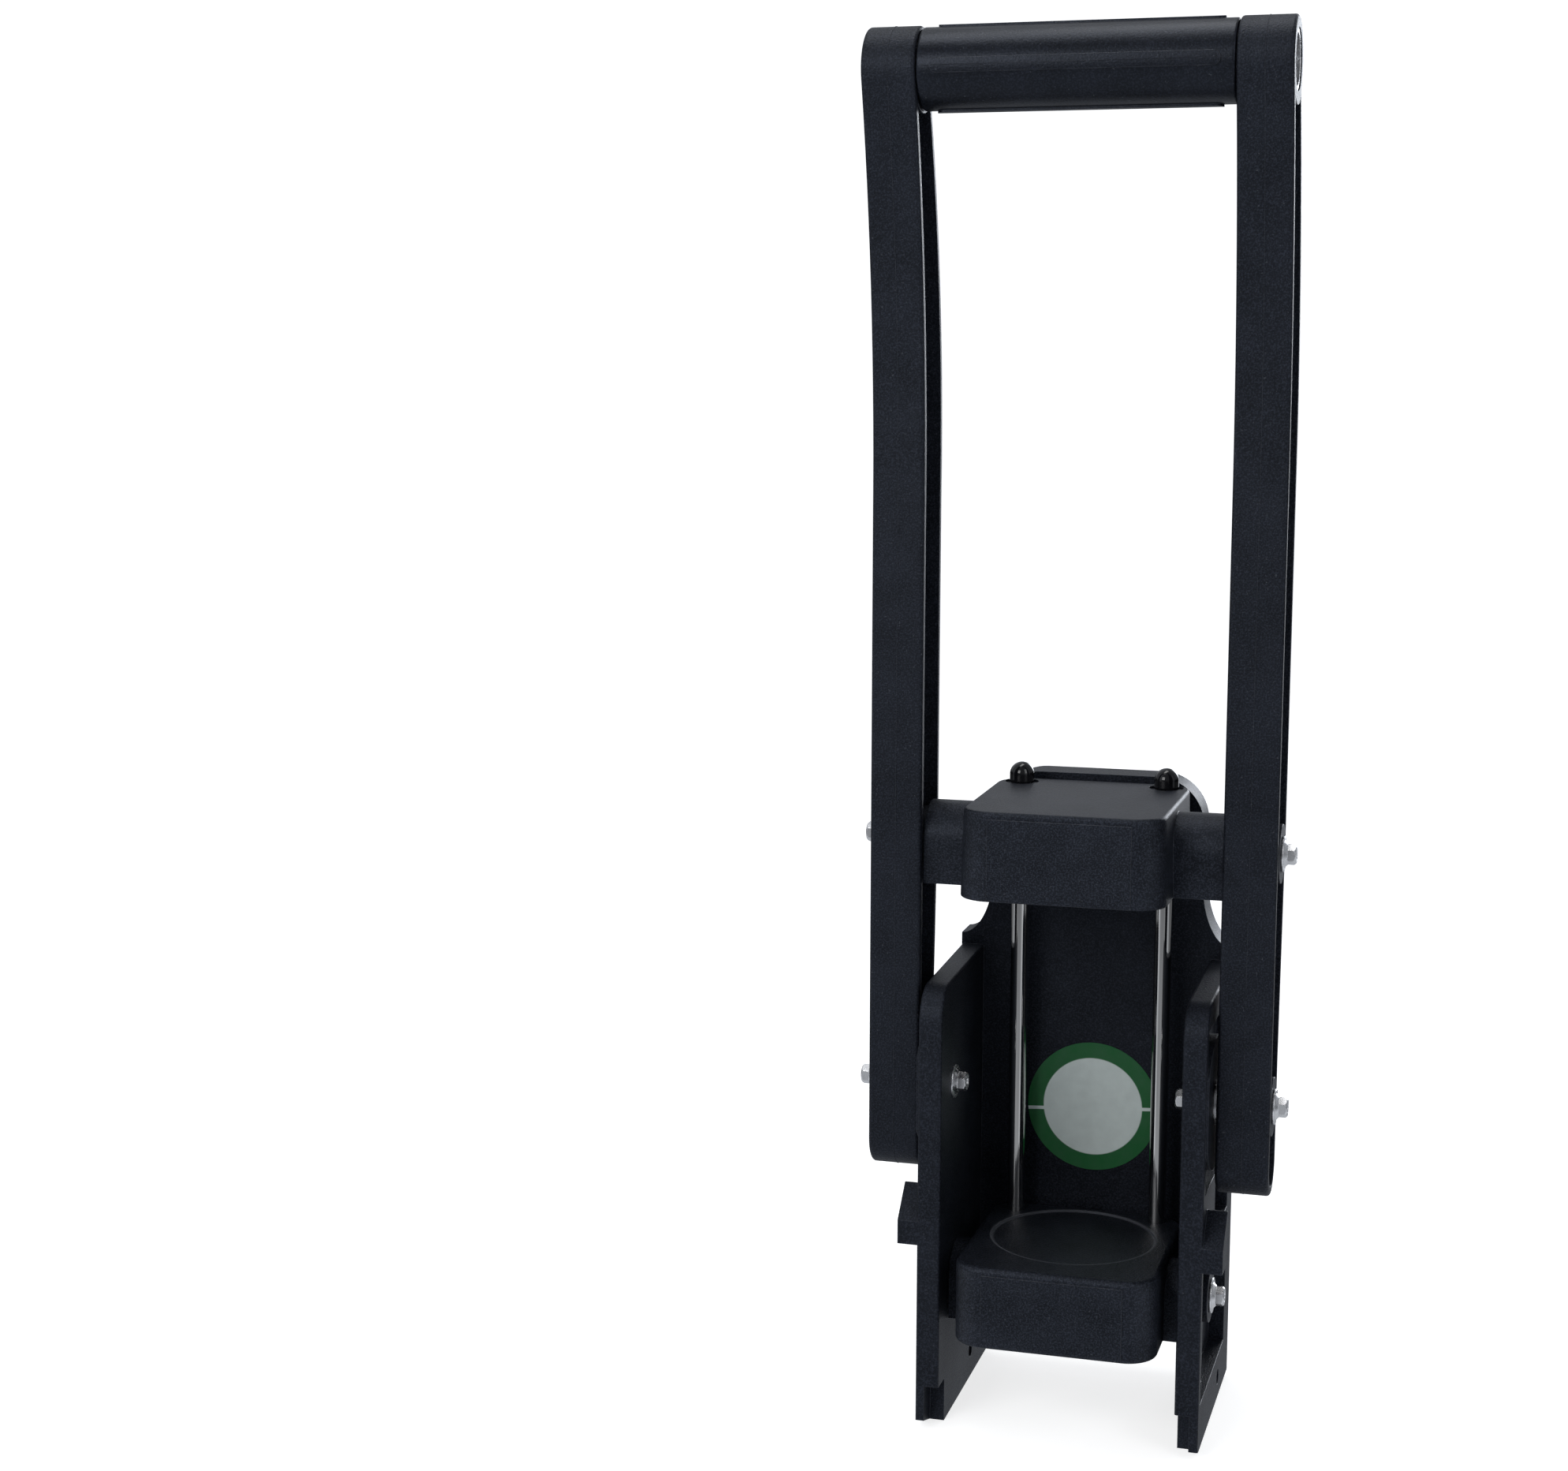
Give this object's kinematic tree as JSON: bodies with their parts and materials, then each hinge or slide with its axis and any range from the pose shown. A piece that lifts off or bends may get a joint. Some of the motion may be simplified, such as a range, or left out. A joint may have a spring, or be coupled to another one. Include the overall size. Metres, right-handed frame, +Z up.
{
  "type": "lever can crusher",
  "caption": "Lever can crusher: hinged arms fold a sliding upper block down on a tilting lower block in a wall or bench frame.",
  "frame": {"origin": "middle of the four wall-screw holes, on the plane of the wall; the feet are 154 mm below it", "axes": "+X to the right seen from the front, +Y into the wall, +Z up along the lever"},
  "size_m": [0.1924, 0.118, 0.62],
  "materials": {
    "moulded_black": "fine pebble texture, satin",
    "arm_black": "fine pebble texture, satin",
    "block_black": "fine pebble texture, satin",
    "grip_black": "smooth satin with raised pads",
    "cap_black": "glossy",
    "zinc": "bright zinc plate",
    "stainless": "ground and polished",
    "tube_steel": "drawn tube",
    "disc_vinyl": "printed vinyl film, satin"
  },
  "bodies": {
    "frame": {"frame": "moulded_black", "label_disc": "disc_vinyl", "main_bolt_left": "zinc", "main_bolt_right": "zinc", "inner_bolt_left": "zinc", "inner_bolt_right": "zinc", "main_barrel_left": "zinc", "main_barrel_right": "zinc"},
    "lever": {"arm_left": "arm_black", "arm_right": "arm_black", "grip_tube": "tube_steel"},
    "grip": {"grip_sleeve": "grip_black"},
    "upper": {"upper_block": "block_black", "trunnion_bolt_left": "zinc", "trunnion_bolt_right": "zinc", "trunnion_barrel_left": "zinc", "trunnion_barrel_right": "zinc"},
    "carriage": {"lower_block": "block_black", "guide_rod_left": "stainless", "guide_rod_right": "stainless", "rod_cap_left": "cap_black", "rod_cap_right": "cap_black", "lower_bolt_left": "zinc", "lower_bolt_right": "zinc", "lower_barrel_left": "zinc", "lower_barrel_right": "zinc"}
  },
  "joints": [
    {"name": "lever_pull", "type": "hinge", "parent": "frame", "child": "lever", "pos_m": [0, -0.0775, 0.0024], "axis": [1, 0, 0], "range_deg": [0, 140]},
    {"name": "trunnion", "type": "hinge", "parent": "lever", "child": "upper", "pos_m": [0, -0.071, 0.114], "axis": [1, 0, 0], "range_deg": [-59.71, 0]},
    {"name": "carriage_tilt", "type": "hinge", "parent": "frame", "child": "carriage", "pos_m": [0, -0.071, -0.089], "axis": [1, 0, 0], "range_deg": [0, 80.29]},
    {"name": "grip_spin", "type": "hinge", "parent": "lever", "child": "grip", "pos_m": [0, -0.09874, 0.4478], "axis": [1, 0, 0], "continuous": true}
  ],
  "couplings": [
    {"joint": "trunnion", "follows": "lever_pull", "ratio": -0.4265},
    {"joint": "carriage_tilt", "follows": "lever_pull", "ratio": 0.5735}
  ]
}
